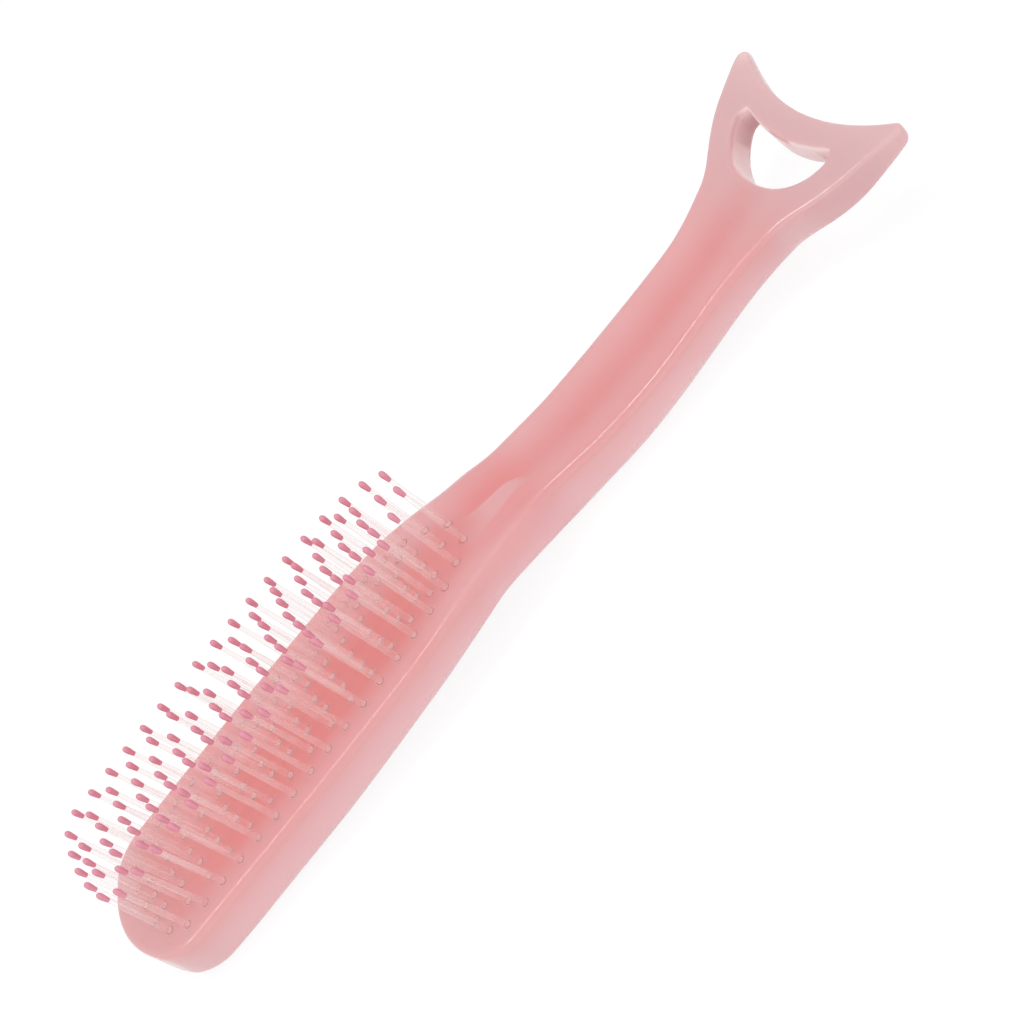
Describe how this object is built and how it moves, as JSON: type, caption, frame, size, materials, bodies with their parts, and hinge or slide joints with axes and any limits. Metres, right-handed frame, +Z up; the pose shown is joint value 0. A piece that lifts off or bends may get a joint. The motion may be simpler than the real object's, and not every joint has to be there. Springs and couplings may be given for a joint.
{
  "type": "detangling comb",
  "caption": "Translucent comb with a long head of clear flexible pins with coloured tips, a closed back, a waisted handle and a fishtail fin with a hanging hole.",
  "frame": {"origin": "bottom centre of the bounding box; the comb lies on its back with the pins up", "axes": "+X from the head's end towards the fin, +Y across the comb, +Z up from the surface that it lies on"},
  "size_m": [0.2348, 0.0594, 0.0368],
  "materials": {
    "translucent_pink": "translucent milky pink moulded plastic, glossy",
    "translucent_pink_cover": "the same translucent pink plastic, slightly less glossy",
    "clear": "clear flexible plastic, polished"
  },
  "bodies": {
    "root": {"handle_body": "translucent_pink", "back_cover": "translucent_pink_cover", "pin_strip_1": "clear", "pin_strip_2": "clear", "pin_strip_3": "clear", "pin_strip_4": "clear", "pin_strip_5": "clear", "pin_strip_6": "clear", "pin_strip_7": "clear"}
  },
  "joints": []
}
